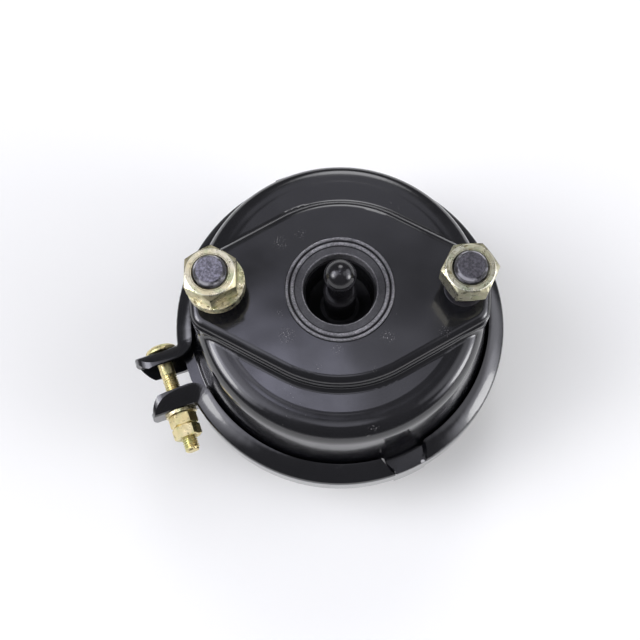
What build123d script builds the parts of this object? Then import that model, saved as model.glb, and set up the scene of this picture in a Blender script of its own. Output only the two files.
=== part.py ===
"""Air brake chamber for a disc brake: two pressed steel housings clamped over one diaphragm.

All sizes are in millimetres. The mounting face is the plane z = 0, the chamber's axis is Z, and the
push rod comes out of the mouth along +Z. The chamber stands on the plateau of its rear housing.
"""
import os
from math import asin, atan, cos, degrees, pi, radians, sin, sqrt, tan

from build123d import *

os.makedirs("parts", exist_ok=True)

# Mounting studs and their nuts
stud_spacing = 120.65
stud_length = 31.5
shank_radius = 8.0
shank_length = 6.0
thread_radius = 7.8
stud_tip_radius = 6.4
stud_tip_chamfer = 1.8
stud_collar_radius = 10.0
stud_collar_rise = 0.4
stud_head_radius = 12.5
stud_head_height = 5.0
stud_head_flat = 9.4
stud_edge_distance = 13.675
stud_nut_flats = 24.0
stud_nut_height = 13.0
stud_tip_clear = 3.6
stud_washer_radius = 14.3
stud_washer_bore = 9.0
stud_washer_thickness = 3.0
stud_washer_shift = 1.0
left_nut_turn = 30.0
right_nut_turn = 3.0
nut_face_share = 0.95
nut_countersink_share = 0.036

# Pressed sheet and the clamped joint
sheet = 3.0
joint_depth = 60.75
bead_thickness = 6.5
bead_width = 5.3
flange_reach = 9.5
band_thickness = 2.6
band_lip = 9.0
band_corner_radius = 3.4
seat_gap = 0.1
bend_radius = 1.5

# Front housing
shelf_depth = 8.0
front_wall_taper = 6.0
shoulder_radius = 14.0
boss_half_height = 47.5
boss_edge_angle = 29.0
boss_crown_radius = 59.0
boss_overhang = 2.5
boss_corner_radius = 10.0
boss_edge_radius = 4.6
boss_foot_radius = 3.2
vent_radius = 4.5
vent_cap_radius = 7.0
vent_cap_height = 1.6
vent_barb_radius = 5.2
vent_barb_gap = 0.5
vent_barb_length = 2.0
vent_above_flange = 18.5
vent_angle_right = 60.0
vent_angle_left = 120.0

# Rear housing and its ports
rear_wall_taper = 4.0
rear_cup_depth = 39.25
rear_corner_radius = 12.0
plateau_rise = 8.0
plateau_step = 4.0
plateau_edge_radius = 5.0
plateau_foot_radius = 2.0
port_edge_distance = 9.5
port_plateau_gap = 3.0
port_boss_radius = 11.0
port_bore_radius = 7.2
port_rise = 7.0
port_plug_recess = 1.0
port_plug_length = 8.0
port_key_flats = 8.0
port_key_depth = 5.0

# Clamp ears, bolt and relief notches
split_angle = -161.4
ear_face = 16.7
ear_bend_radius = 1.2
ear_tip_radius = 14.9
bolt_radius = 4.0
bolt_length = 55.5
bolt_tip_chamfer = 0.8
bolt_head_radius = 8.6
bolt_head_height = 4.8
bolt_head_edge = 1.2
bolt_square = 8.0
bolt_square_depth = 2.4
bolt_hole_clearance = 0.4
clamp_nut_flats = 13.0
clamp_nut_height = 6.5
clamp_washer_radius = 8.3
clamp_washer_thickness = 1.6
clamp_washer_gap = 0.1
relief_angle_near = -66.0
relief_angle_far = 107.0
relief_radius = 11.5
relief_height = 15.0
relief_tab_half_width = 8.8
relief_tab_half_height = 10.5

# Mouth, its seal and the dust boot
mouth_radius = 21.0
mouth_recess_width = 6.0
mouth_recess_depth = 1.5
mouth_seat_width = 2.0
seal_neck_wall = 3.0
seal_edge_gap = 0.4
seal_outer_rib_width = 1.5
seal_groove_width = 0.9
seal_inner_rib_width = 1.9
seal_wall_rise = 0.9
seal_outer_rib_rise = 1.8
seal_inner_rib_rise = 1.5
seal_groove_rise = 0.1
seal_dish_rise = 0.5
seal_edge_rise = 0.3
seal_edge_round = 0.9
seal_lip_width = 3.8
seal_lower_lip = 1.8
boot_wall = 1.4
boot_flange = 1.8
boot_set_in = 1.0
boot_knee_depth = 22.4
boot_knee_set_in = 1.4
boot_bead_width = 2.45
boot_bead_drop = 2.8
boot_bead_height = 4.0
clip_thickness = 1.0
clip_height = 2.0

# Push rod and push plate
rod_radius = 8.1
rod_projection = 27.0
ball_radius = 7.8
neck_radius = 6.2
shoulder_depth = 2.3
shoulder_chamfer = 1.1
ring_groove_depth = 0.6
ring_groove_width = 1.0
spigot_radius = 6.0
plate_set_in = 11.5
plate_thickness = 3.5
plate_rim = 6.0
plate_corner_radius = 5.0
hub_radius = 14.0
hub_height = 5.0

# Diaphragm, return spring, its seat and the stud plate
diaphragm_thickness = 3.0
diaphragm_gap = 0.4
diaphragm_top_bend = 5.0
spring_wire_radius = 2.25
spring_top_set_in = 5.0
spring_bottom_set_in = 11.0
spring_active_turns = 4.0
spring_dead_turns = 0.7
spring_steps_per_turn = 12
spring_seat_boot_gap = 1.1
spring_seat_plate_gap = 1.0
spring_seat_rim = 2.5
spring_seat_thickness = 2.0
spring_guide_depth = 3.5
stud_plate_thickness = 5.0
stud_plate_gap = 2.2
stud_plate_set_out = 5.0

# Clearances
fit_gap = 0.05
spring_gap = 0.1
thread_gap = 0.1
running_gap = 0.3

# Radii that follow from the sizes above
stud_x = stud_spacing / 2
boss_end_radius = stud_x + stud_edge_distance
shelf_radius = boss_end_radius - boss_overhang
wall_radius = shelf_radius + front_wall_taper
clamp_radius = wall_radius + flange_reach
flange_radius = clamp_radius - band_thickness - 3 * seat_gap
rear_floor_radius = wall_radius - rear_wall_taper
port_offset = rear_floor_radius - rear_corner_radius - port_edge_distance
plateau_radius = port_offset - port_boss_radius - port_plateau_gap - plateau_step
mouth_recess_radius = mouth_radius + mouth_recess_width
mouth_seat_radius = mouth_recess_radius + mouth_seat_width
seal_bore_radius = mouth_radius - seal_neck_wall
seal_radius = mouth_recess_radius - seal_edge_gap
seal_lip_radius = mouth_radius + seal_lip_width
boot_skirt_radius = seal_bore_radius - boot_set_in
boot_knee_radius = boot_skirt_radius - boot_knee_set_in
boot_bead_radius = rod_radius + fit_gap + boot_bead_width
stud_plate_bore = mouth_seat_radius + stud_plate_set_out
spring_seat_inner = boot_skirt_radius + boot_wall + spring_seat_boot_gap
spring_seat_radius = stud_plate_bore - spring_seat_plate_gap
spring_top_radius = spring_seat_radius - spring_top_set_in
plate_radius = rear_floor_radius - rear_corner_radius - plate_set_in
spring_bottom_radius = plate_radius - spring_bottom_set_in

# Levels that follow from the sizes above
bead_half = bead_thickness / 2
front_flange_z = -(joint_depth - bead_half - sheet)
rear_flange_z = -(joint_depth + bead_half + sheet)
rear_floor_depth = joint_depth + rear_cup_depth
plateau_depth = rear_floor_depth + plateau_rise
port_face_depth = rear_floor_depth + port_rise
vent_depth = -front_flange_z - vent_above_flange
front_wall_slope = front_wall_taper / (-shelf_depth - front_flange_z)
rear_wall_slope = rear_wall_taper / (rear_flange_z + rear_floor_depth)
plateau_slope = plateau_step / plateau_rise
boss_root_depth = shelf_depth + boss_overhang / front_wall_slope + sheet
web_half = flange_radius + bead_half + sheet + sqrt(2) * (band_thickness + seat_gap) - clamp_radius
lip_top = web_half + band_lip
floor_gap = sheet + diaphragm_gap
diaphragm_z = -rear_floor_depth + floor_gap
plate_bottom_z = diaphragm_z + diaphragm_thickness + running_gap
plate_top_z = plate_bottom_z + plate_thickness
nut_top_z = stud_length - stud_tip_clear
nut_bottom_z = nut_top_z - stud_nut_height
sunk_z = -sheet - mouth_recess_depth
seal_lip_z = sunk_z - fit_gap
boot_top_z = seal_lip_z - seal_lower_lip - fit_gap
seat_top_z = boot_top_z - boot_flange - fit_gap
seat_bottom_z = seat_top_z - spring_seat_thickness
spring_top_z = seat_bottom_z - spring_gap - spring_wire_radius
spring_bottom_z = plate_top_z + spring_gap + spring_wire_radius
boot_bead_depth = boot_knee_depth + boot_bead_drop

# Clamp ears: the bend from the band into each ear, and directions along and across the split
ear_bend_y = ear_face + ear_bend_radius
ear_bend_x = sqrt((clamp_radius + ear_bend_radius) ** 2 - ear_bend_y**2)
ear_bolt_reach = ear_bend_x + clamp_washer_radius + clamp_washer_gap
ear_tangent = degrees(asin(ear_bend_y / (clamp_radius + ear_bend_radius)))
split_out = Vector(cos(radians(split_angle)), sin(radians(split_angle)), 0)
split_side = Vector(-split_out.Y, split_out.X, 0)
joint_centre = Vector(0, 0, -joint_depth)


def save(part, name):
    """Label one finished piece and write it."""
    part.label = name
    export_step(part, f"parts/{name}.step")


def axis_plane(plane):
    """The plane through the given plane's own axis, with that axis as its Y."""
    return Plane(origin=plane.origin, x_dir=plane.x_dir, z_dir=-plane.y_dir)


def turn(points, plane=Plane.XY, mode=Mode.ADD):
    """Revolve one closed outline of (radius, height) points about the plane's axis."""
    with BuildSketch(axis_plane(plane)) as profile:
        with BuildLine():
            Polyline(*points, close=True)
        make_face()
    revolve(profile.sketch, axis=Axis(plane.origin, plane.z_dir), mode=mode)


def ring(inner, outer, bottom, top, plane=Plane.XY):
    """Plain ring about the plane's axis."""
    turn([(inner, bottom), (outer, bottom), (outer, top), (inner, top)], plane)


def round_corner(point, radius):
    """Round the corner of the sketch that lies at the given point."""
    fillet(vertices().sort_by_distance(point)[0], radius=radius)


def front_wall_at(z, inset):
    """Radius of the front housing's side wall at height z, set in from the outer face."""
    shift = inset * sqrt(1 + front_wall_slope**2)
    return shelf_radius - shift + front_wall_slope * (-shelf_depth - z)


def rear_wall_at(z, inset):
    """Radius of the rear housing's side wall at height z, set in from the outer face."""
    shift = inset * sqrt(1 + rear_wall_slope**2)
    return rear_floor_radius - shift + rear_wall_slope * (z + rear_floor_depth)


def plateau_wall_at(z, inset):
    """Radius of the slanted step round the rear plateau at height z, set in from the outer face."""
    shift = inset * sqrt(1 + plateau_slope**2)
    return plateau_radius - shift + plateau_slope * (z + plateau_depth)


def boss_outline(inset):
    """Rounded rhombus of the mounting boss, cut off by the housing's round and set in by inset."""
    angle = radians(boss_edge_angle)
    crown = boss_crown_radius - inset
    tip_y = boss_half_height - inset + crown * (1 / cos(angle) - 1)
    tip_x = tip_y / tan(angle)
    Polygon((tip_x, 0), (0, tip_y), (-tip_x, 0), (0, -tip_y), align=None)
    fillet([v for v in vertices() if abs(v.X) < 1], radius=crown)
    end_radius = boss_end_radius - inset
    Circle(end_radius, mode=Mode.INTERSECT)
    corners = [v for v in vertices() if Vector(v.X, v.Y).length > end_radius - 0.01]
    fillet(corners, radius=boss_corner_radius - inset)


def front_bowl(inset, mode):
    """Turned body of the front housing below its boss: the outer form, or its cavity."""
    shelf_z = -shelf_depth - inset
    flange_z = front_flange_z - inset
    shelf_corner = (front_wall_at(shelf_z, inset), shelf_z)
    flange_corner = (front_wall_at(flange_z, inset), flange_z)
    points = [(0, shelf_z), shelf_corner, flange_corner]
    if not inset:
        points += [(flange_radius, flange_z), (flange_radius, flange_z - sheet)]
    with BuildSketch(Plane.XZ) as profile:
        with BuildLine():
            Polyline(*points, (0, points[-1][1]), close=True)
        make_face()
        round_corner(shelf_corner, shoulder_radius - inset)
        if not inset:
            round_corner(flange_corner, bend_radius)
    revolve(profile.sketch, axis=Axis.Z, mode=mode)


def rear_bowl(inset, mode):
    """Turned body of the rear housing with its plateau: the outer form, or its cavity."""
    plateau_z = -plateau_depth + inset
    floor_z = -rear_floor_depth + inset
    flange_z = rear_flange_z + inset
    plateau_corner = (plateau_wall_at(plateau_z, inset), plateau_z)
    plateau_foot = (plateau_wall_at(floor_z, inset), floor_z)
    floor_corner = (rear_wall_at(floor_z, inset), floor_z)
    flange_corner = (rear_wall_at(flange_z, inset), flange_z)
    points = [(0, plateau_z), plateau_corner, plateau_foot, floor_corner, flange_corner]
    if not inset:
        points += [(flange_radius, flange_z), (flange_radius, flange_z + sheet)]
    with BuildSketch(Plane.XZ) as profile:
        with BuildLine():
            Polyline(*points, (0, points[-1][1]), close=True)
        make_face()
        round_corner(plateau_corner, plateau_edge_radius - inset)
        round_corner(plateau_foot, plateau_foot_radius + inset)
        round_corner(floor_corner, rear_corner_radius - inset)
        if not inset:
            round_corner(flange_corner, bend_radius)
    revolve(profile.sketch, axis=Axis.Z, mode=mode)


def round_flange_mouth(radius, z):
    """Round the inner edge where a housing's wall turns out into its flange."""
    circles = edges().filter_by(GeomType.CIRCLE)
    fillet(circles.sort_by_distance((radius, 0, z))[0], radius=bend_radius + sheet)


def bore(radius, top, depth, x=0.0, y=0.0):
    """Round hole along Z that starts at height top and goes down by depth."""
    with BuildSketch(Plane.XY.offset(top)) as mouth:
        with Locations((x, y)):
            Circle(radius)
    extrude(mouth.sketch, amount=-depth, mode=Mode.SUBTRACT)


def hex_nut(plane, flats, height, bore_radius):
    """Hexagon nut with 30 degree chamfers and a countersunk bore at both ends, standing on the plane."""
    face_radius = nut_face_share * flats / 2
    edge_radius = flats / sqrt(3) + 1
    drop = (edge_radius - face_radius) * tan(radians(30))
    sink = nut_countersink_share * flats
    with BuildSketch(plane) as hexagon:
        RegularPolygon(flats / 2, 6, major_radius=False)
    extrude(hexagon.sketch, amount=height)
    bounds = [(bore_radius, sink), (bore_radius + sink, 0), (face_radius, 0), (edge_radius, drop)]
    bounds += [(edge_radius, height - drop), (face_radius, height)]
    bounds += [(bore_radius + sink, height), (bore_radius, height - sink)]
    turn(bounds, plane, Mode.INTERSECT)


def turn_stud(side):
    """One mounting stud; side is 1 on the right and -1 on the left, where its head has a flat."""
    plane = Plane(origin=(side * stud_x, 0, 0), z_dir=(0, 0, 1))
    head_top = -sheet - stud_plate_thickness
    shank_top = stud_collar_rise + shank_length
    points = [(0, head_top - stud_head_height), (stud_head_radius, head_top - stud_head_height)]
    points += [(stud_head_radius, head_top), (stud_collar_radius, head_top)]
    points += [(stud_collar_radius, stud_collar_rise), (shank_radius, stud_collar_rise)]
    points += [(shank_radius, shank_top), (thread_radius, shank_top)]
    points += [(thread_radius, stud_length - stud_tip_chamfer), (stud_tip_radius, stud_length)]
    points += [(0, stud_length)]
    turn(points, plane)
    with BuildSketch(Plane.XY.offset(head_top)) as beyond_flat:
        with Locations((side * (stud_x + stud_head_flat + stud_head_radius / 2), 0)):
            Rectangle(stud_head_radius, 2 * stud_head_radius)
    extrude(beyond_flat.sketch, amount=-stud_head_height, mode=Mode.SUBTRACT)


def nut_plane(side, turned):
    """Plane under a stud's nut, turned by some degrees about the stud."""
    x_dir = (cos(radians(turned)), sin(radians(turned)), 0)
    return Plane(origin=(side * stud_x, 0, nut_bottom_z), x_dir=x_dir, z_dir=(0, 0, 1))


def vent_plane(angle):
    """Plane on the side wall at a vent, looking straight out of the wall."""
    tilt = atan(front_wall_slope)
    out = Vector(cos(radians(angle)), sin(radians(angle)), 0)
    origin = out * front_wall_at(-vent_depth, 0) + Vector(0, 0, -vent_depth)
    return Plane(origin=origin, z_dir=out * cos(tilt) + Vector(0, 0, sin(tilt)))


def vent_plug(angle):
    """Plug that snaps into a vent hole from outside."""
    stem = vent_radius - fit_gap
    barb_top = -sheet - vent_barb_gap
    tip = barb_top - vent_barb_length
    points = [(0, tip), (stem - 1, tip), (vent_barb_radius, barb_top), (stem, barb_top), (stem, 0)]
    points += [(vent_cap_radius, 0), (vent_cap_radius, vent_cap_height), (0, vent_cap_height)]
    turn(points, vent_plane(angle))


def port_boss(y):
    """Threaded boss that passes through the rear housing's floor."""
    with BuildSketch(Plane.XY.offset(-port_face_depth)) as face:
        with Locations((0, y)):
            Circle(port_boss_radius)
            Circle(port_bore_radius, mode=Mode.SUBTRACT)
    extrude(face.sketch, amount=port_face_depth - rear_floor_depth + sheet)


def section_plane(outer_point, inward):
    """Plane of the clamp band's section: X runs inward from the outer face, Y along the chamber."""
    return Plane(origin=outer_point, x_dir=inward, z_dir=inward.cross(Vector(0, 0, 1)))


def band_section():
    """Channel of the clamp band: a flat web with two lips leaning in at 45 degrees."""
    slant = sqrt(2) * band_thickness
    web_inner = web_half + band_thickness - slant
    upper = [(0, web_half), (band_lip, lip_top), (band_lip, lip_top - slant), (band_thickness, web_inner)]
    lower = [(x, -y) for x, y in reversed(upper)]
    Polygon(*upper, *lower, align=None)
    for y in (-1, 1):
        round_corner((0, y * web_half), band_corner_radius)
        round_corner((band_thickness, y * web_inner), band_corner_radius - band_thickness)


def ear_point(x, y):
    """Point in the joint's plane, x along the clamp's split and y across it."""
    return joint_centre + split_out * x + split_side * y


def relief_plane(angle):
    """Plane on the clamp band's outer face at an angle, looking outward, with Y along the chamber."""
    out = Vector(cos(radians(angle)), sin(radians(angle)), 0)
    return Plane(origin=joint_centre + out * clamp_radius, x_dir=Vector(0, 0, 1).cross(out), z_dir=out)


def relieve(angle):
    """Notch both lips of the band in one place and leave its web standing there as a flat strip."""
    with BuildSketch(relief_plane(angle)) as notches:
        with Locations((0, relief_height), (0, -relief_height)):
            Circle(relief_radius)
    extrude(notches.sketch, amount=-2 * band_lip, both=True, mode=Mode.SUBTRACT)
    half_turn = degrees(relief_tab_half_width / clamp_radius)
    start = Vector(cos(radians(angle - half_turn)), sin(radians(angle - half_turn)), 0)
    with BuildSketch(section_plane(joint_centre + start * clamp_radius, -start)) as strip:
        with Locations((band_thickness / 2, 0)):
            Rectangle(band_thickness, 2 * relief_tab_half_height)
    revolve(strip.sketch, axis=Axis.Z, revolution_arc=2 * half_turn)


# Front housing: shelf, shoulder and side wall, with the raised boss that carries the studs
with BuildPart() as front_housing:
    front_bowl(0, Mode.ADD)
    with BuildSketch():
        boss_outline(0)
    extrude(amount=-boss_root_depth)
    walls = faces().filter_by(lambda f: abs(f.normal_at().Z) < 0.01 and f.bounding_box().max.Z > -0.01)
    rims = ShapeList(e for wall in walls for e in wall.edges() if e.center().Z < -1)
    foot = rims.filter_by(lambda e: e.geom_type != GeomType.LINE or abs(e.tangent_at(0.5).Z) < 0.5)
    fillet(foot, radius=boss_foot_radius)
    fillet(edges().group_by(Axis.Z)[-1], radius=boss_edge_radius)
    front_bowl(sheet, Mode.SUBTRACT)
    with BuildSketch(Plane.XY.offset(-sheet)):
        boss_outline(sheet)
    extrude(amount=sheet - boss_root_depth, mode=Mode.SUBTRACT)
    with BuildSketch(Plane.XY.offset(-sheet)):
        Circle(mouth_seat_radius)
    extrude(amount=-mouth_recess_depth)
    bore(mouth_recess_radius, 0, mouth_recess_depth)
    bore(mouth_radius, 0, 2 * sheet)
    for side in (-1, 1):
        bore(stud_collar_radius + fit_gap, 0, 2 * sheet, x=side * stud_x)
    round_flange_mouth(front_wall_at(front_flange_z - sheet, sheet), front_flange_z - sheet)
    for angle in (vent_angle_left, vent_angle_right):
        turn([(0, -2 * sheet), (vent_radius, -2 * sheet), (vent_radius, sheet), (0, sheet)],
             vent_plane(angle), Mode.SUBTRACT)
save(front_housing.part, "front_housing")

# Rear housing: side wall, floor and the plateau it stands on, with two holes for the ports
with BuildPart() as rear_housing:
    rear_bowl(0, Mode.ADD)
    rear_bowl(sheet, Mode.SUBTRACT)
    round_flange_mouth(rear_wall_at(rear_flange_z + sheet, sheet), rear_flange_z + sheet)
    for y in (-port_offset, port_offset):
        bore(port_boss_radius + fit_gap, -rear_floor_depth + 2 * sheet, 4 * sheet, y=y)
save(rear_housing.part, "rear_housing")

# Ports: the near boss is open, the far one is closed by a plug with a hexagon socket
with BuildPart() as port_boss_open:
    port_boss(-port_offset)
save(port_boss_open.part, "port_boss_open")

with BuildPart() as port_boss_plugged:
    port_boss(port_offset)
save(port_boss_plugged.part, "port_boss_plugged")

with BuildPart() as port_plug:
    with BuildSketch(Plane.XY.offset(-port_face_depth + port_plug_recess)):
        with Locations((0, port_offset)):
            Circle(port_bore_radius - fit_gap)
    extrude(amount=port_plug_length)
    with BuildSketch(Plane.XY.offset(-port_face_depth + port_plug_recess)):
        with Locations((0, port_offset)):
            RegularPolygon(port_key_flats / 2, 6, major_radius=False)
    extrude(amount=port_key_depth, mode=Mode.SUBTRACT)
save(port_plug.part, "port_plug")

with BuildPart() as vent_plug_left:
    vent_plug(vent_angle_left)
save(vent_plug_left.part, "vent_plug_left")

with BuildPart() as vent_plug_right:
    vent_plug(vent_angle_right)
save(vent_plug_right.part, "vent_plug_right")

# One clamp ear: the band bends away from the chamber and ends in a rounded leaf with a bolt hole
with BuildPart() as clamp_ear:
    tangent_out = Vector(split_out).rotate(Axis.Z, ear_tangent)
    with BuildSketch(section_plane(joint_centre + tangent_out * clamp_radius, -tangent_out)):
        band_section()
    bend_axis = Axis(ear_point(ear_bend_x, ear_bend_y), (0, 0, 1))
    revolve(axis=bend_axis, revolution_arc=90 - ear_tangent)
    with BuildSketch(section_plane(ear_point(ear_bend_x, ear_face), -split_side)):
        band_section()
    extrude(amount=-(ear_bolt_reach + ear_tip_radius - ear_bend_x))
    with BuildSketch(Plane(origin=joint_centre, x_dir=split_out, z_dir=-split_side)):
        with Locations((ear_bend_x - band_lip, 0)):
            Rectangle(2 * band_lip, 2 * lip_top)
        with Locations((ear_bolt_reach, 0)):
            Circle(ear_tip_radius)
        make_hull()
    extrude(amount=-2 * ear_bend_y, mode=Mode.INTERSECT)

# Clamp band: channel ring over both flanges with two relief notches and the pair of ears
with BuildPart() as clamp_band:
    with BuildSketch(section_plane(joint_centre + tangent_out * clamp_radius, -tangent_out)):
        band_section()
    revolve(axis=Axis.Z, revolution_arc=360 - 2 * ear_tangent)
    for angle in (relief_angle_near, relief_angle_far):
        relieve(angle)
    add(clamp_ear.part)
    add(mirror(clamp_ear.part, about=Plane(origin=joint_centre, z_dir=split_side)))
    hole_plane = Plane(origin=ear_point(ear_bolt_reach, 0), x_dir=split_out, z_dir=split_side)
    with BuildSketch(hole_plane):
        Circle(bolt_radius + bolt_hole_clearance)
    extrude(amount=2 * ear_face, mode=Mode.SUBTRACT)
    with BuildSketch(hole_plane):
        Rectangle(bolt_square + bolt_hole_clearance, bolt_square + bolt_hole_clearance)
    extrude(amount=-2 * ear_face, mode=Mode.SUBTRACT)
save(clamp_band.part, "clamp_band")

# Clamp bolt with a cup head and square neck, then its washer, nut and lock nut
head_plane = Plane(origin=ear_point(ear_bolt_reach, -ear_face), x_dir=split_out, z_dir=split_side)
with BuildPart() as clamp_bolt:
    with BuildSketch(axis_plane(head_plane)):
        with BuildLine():
            shank = [(0, bolt_length), (bolt_radius - bolt_tip_chamfer, bolt_length)]
            shank += [(bolt_radius, bolt_length - bolt_tip_chamfer), (bolt_radius, 0)]
            Polyline(*shank, (bolt_head_radius, 0), (bolt_head_radius, -bolt_head_edge))
            dome_height = bolt_head_height - bolt_head_edge
            dome_radius = (bolt_head_radius**2 + dome_height**2) / (2 * dome_height)
            RadiusArc((bolt_head_radius, -bolt_head_edge), (0, -bolt_head_height), dome_radius)
            Line((0, -bolt_head_height), (0, bolt_length))
        make_face()
    revolve(axis=Axis(head_plane.origin, head_plane.z_dir))
    with BuildSketch(head_plane):
        Rectangle(bolt_square, bolt_square)
    extrude(amount=bolt_square_depth)
save(clamp_bolt.part, "clamp_bolt")

washer_plane = Plane(origin=ear_point(ear_bolt_reach, ear_face), x_dir=split_out, z_dir=split_side)
with BuildPart() as clamp_washer:
    ring(bolt_radius + bolt_hole_clearance, clamp_washer_radius, 0, clamp_washer_thickness, washer_plane)
save(clamp_washer.part, "clamp_washer")

with BuildPart() as clamp_nut:
    nut_base = washer_plane.offset(clamp_washer_thickness)
    hex_nut(nut_base, clamp_nut_flats, clamp_nut_height, bolt_radius + thread_gap)
save(clamp_nut.part, "clamp_nut")

with BuildPart() as clamp_lock_nut:
    lock_base = nut_base.offset(clamp_nut_height)
    hex_nut(lock_base, clamp_nut_flats, clamp_nut_height, bolt_radius + thread_gap)
save(clamp_lock_nut.part, "clamp_lock_nut")

# Mounting studs with the plate that backs them, their nuts and the left stud's two washers
with BuildPart() as stud_left:
    turn_stud(-1)
save(stud_left.part, "stud_left")

with BuildPart() as stud_right:
    turn_stud(1)
save(stud_right.part, "stud_right")

with BuildPart() as stud_plate:
    with BuildSketch(Plane.XY.offset(-sheet)):
        boss_outline(sheet + stud_plate_gap)
        Circle(stud_plate_bore, mode=Mode.SUBTRACT)
        with Locations((stud_x, 0), (-stud_x, 0)):
            Circle(stud_collar_radius + fit_gap, mode=Mode.SUBTRACT)
    extrude(amount=-stud_plate_thickness)
save(stud_plate.part, "stud_plate")

with BuildPart() as stud_nut_left:
    hex_nut(nut_plane(-1, left_nut_turn), stud_nut_flats, stud_nut_height, thread_radius + thread_gap)
save(stud_nut_left.part, "stud_nut_left")

with BuildPart() as stud_nut_right:
    hex_nut(nut_plane(1, right_nut_turn), stud_nut_flats, stud_nut_height, thread_radius + thread_gap)
save(stud_nut_right.part, "stud_nut_right")

upper_plane = nut_plane(-1, 0)
upper_plane.origin += Vector(stud_washer_shift, 0, -stud_washer_thickness)
with BuildPart() as stud_washer_upper:
    ring(stud_washer_bore, stud_washer_radius, 0, stud_washer_thickness, upper_plane)
save(stud_washer_upper.part, "stud_washer_upper")

lower_plane = upper_plane.offset(-stud_washer_thickness)
with BuildPart() as stud_washer_lower:
    ring(stud_washer_bore, stud_washer_radius, 0, stud_washer_thickness, lower_plane)
save(stud_washer_lower.part, "stud_washer_lower")

# Mouth seal: two ribs on the face, a neck through the mouth and a lip below it
with BuildPart() as mouth_seal:
    with BuildSketch(Plane.XZ):
        with BuildLine():
            seat_z = -mouth_recess_depth + fit_gap
            lip_bottom_z = seal_lip_z - seal_lower_lip
            neck = mouth_radius - fit_gap
            under = [(seal_bore_radius, seal_edge_rise - seal_edge_round)]
            under += [(seal_bore_radius, lip_bottom_z)]
            under += [(seal_lip_radius, lip_bottom_z), (seal_lip_radius, seal_lip_z)]
            under += [(neck, seal_lip_z), (neck, seat_z), (seal_radius, seat_z)]
            under += [(seal_radius, seal_wall_rise)]
            groove_outer = (seal_radius - seal_outer_rib_width, seal_groove_rise)
            groove_inner = (groove_outer[0] - seal_groove_width, seal_groove_rise)
            dish = (groove_inner[0] - seal_inner_rib_width, seal_dish_rise)
            outer_crest = (seal_radius - seal_outer_rib_width / 2, seal_outer_rib_rise)
            inner_crest = (groove_inner[0] - seal_inner_rib_width / 2, seal_inner_rib_rise)
            edge = (seal_bore_radius + seal_edge_round, seal_edge_rise)
            edge_lean = seal_edge_round * (1 - sqrt(0.5))
            Polyline(*under)
            ThreePointArc(under[-1], outer_crest, groove_outer)
            Line(groove_outer, groove_inner)
            ThreePointArc(groove_inner, inner_crest, dish)
            Line(dish, edge)
            ThreePointArc(edge, (seal_bore_radius + edge_lean, seal_edge_rise - edge_lean), under[0])
        make_face()
    revolve(axis=Axis.Z)
save(mouth_seal.part, "mouth_seal")

# Dust boot that hangs from the seal and grips the push rod, and the clip round its lower bead
with BuildPart() as dust_boot:
    flange_bottom = boot_top_z - boot_flange
    skirt = boot_skirt_radius + boot_wall
    knee = boot_knee_radius + boot_wall
    bead_bottom = -boot_bead_depth - boot_bead_height
    bead_bore = rod_radius + fit_gap
    outside = [(seal_lip_radius, boot_top_z), (seal_lip_radius, flange_bottom)]
    outside += [(skirt, flange_bottom), (knee, -boot_knee_depth)]
    outside += [(boot_bead_radius, -boot_bead_depth - boot_wall)]
    inside = [(boot_bead_radius, bead_bottom), (bead_bore, bead_bottom), (bead_bore, -boot_bead_depth)]
    inside += [(boot_bead_radius - boot_wall / 2, -boot_bead_depth)]
    inside += [(boot_knee_radius, boot_wall / 2 - boot_knee_depth), (boot_skirt_radius, boot_top_z)]
    turn(outside + inside)
save(dust_boot.part, "dust_boot")

with BuildPart() as boot_clip:
    clip_inner = boot_bead_radius + fit_gap
    clip_bottom = bead_bottom + fit_gap
    ring(clip_inner, clip_inner + clip_thickness, clip_bottom, clip_bottom + clip_height)
save(boot_clip.part, "boot_clip")

# Seat ring that holds boot and seal up against the mouth and centres the spring's small end
with BuildPart() as spring_seat_ring:
    guide = spring_top_radius - spring_wire_radius - 2 * running_gap
    rim_inner = spring_seat_radius - spring_seat_rim
    guide_bottom = seat_bottom_z - spring_guide_depth
    points = [(spring_seat_inner, seat_top_z), (rim_inner, seat_top_z), (rim_inner, -sheet - fit_gap)]
    points += [(spring_seat_radius, -sheet - fit_gap), (spring_seat_radius, seat_bottom_z)]
    points += [(guide, seat_bottom_z), (guide, guide_bottom), (guide - spring_seat_thickness, guide_bottom)]
    points += [(guide - spring_seat_thickness, seat_bottom_z), (spring_seat_inner, seat_bottom_z)]
    turn(points)
save(spring_seat_ring.part, "spring_seat_ring")

# Return spring: a conical coil with flat end turns, small end at the mouth
with BuildPart() as return_spring:
    spring_turns = spring_active_turns + 2 * spring_dead_turns
    steps = round(spring_turns * spring_steps_per_turn)
    coil = []
    for step in range(steps + 1):
        turns = spring_turns * step / steps
        share = min(max((turns - spring_dead_turns) / spring_active_turns, 0), 1)
        radius = spring_top_radius + share * (spring_bottom_radius - spring_top_radius)
        height = spring_top_z + share * (spring_bottom_z - spring_top_z)
        coil.append((radius * cos(2 * pi * turns), radius * sin(2 * pi * turns), height))
    with BuildLine() as wire_line:
        Spline(*coil)
    with BuildSketch(Plane(origin=wire_line.line @ 0, z_dir=wire_line.line % 0)):
        Circle(spring_wire_radius)
    sweep(path=wire_line.line)
save(return_spring.part, "return_spring")

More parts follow.
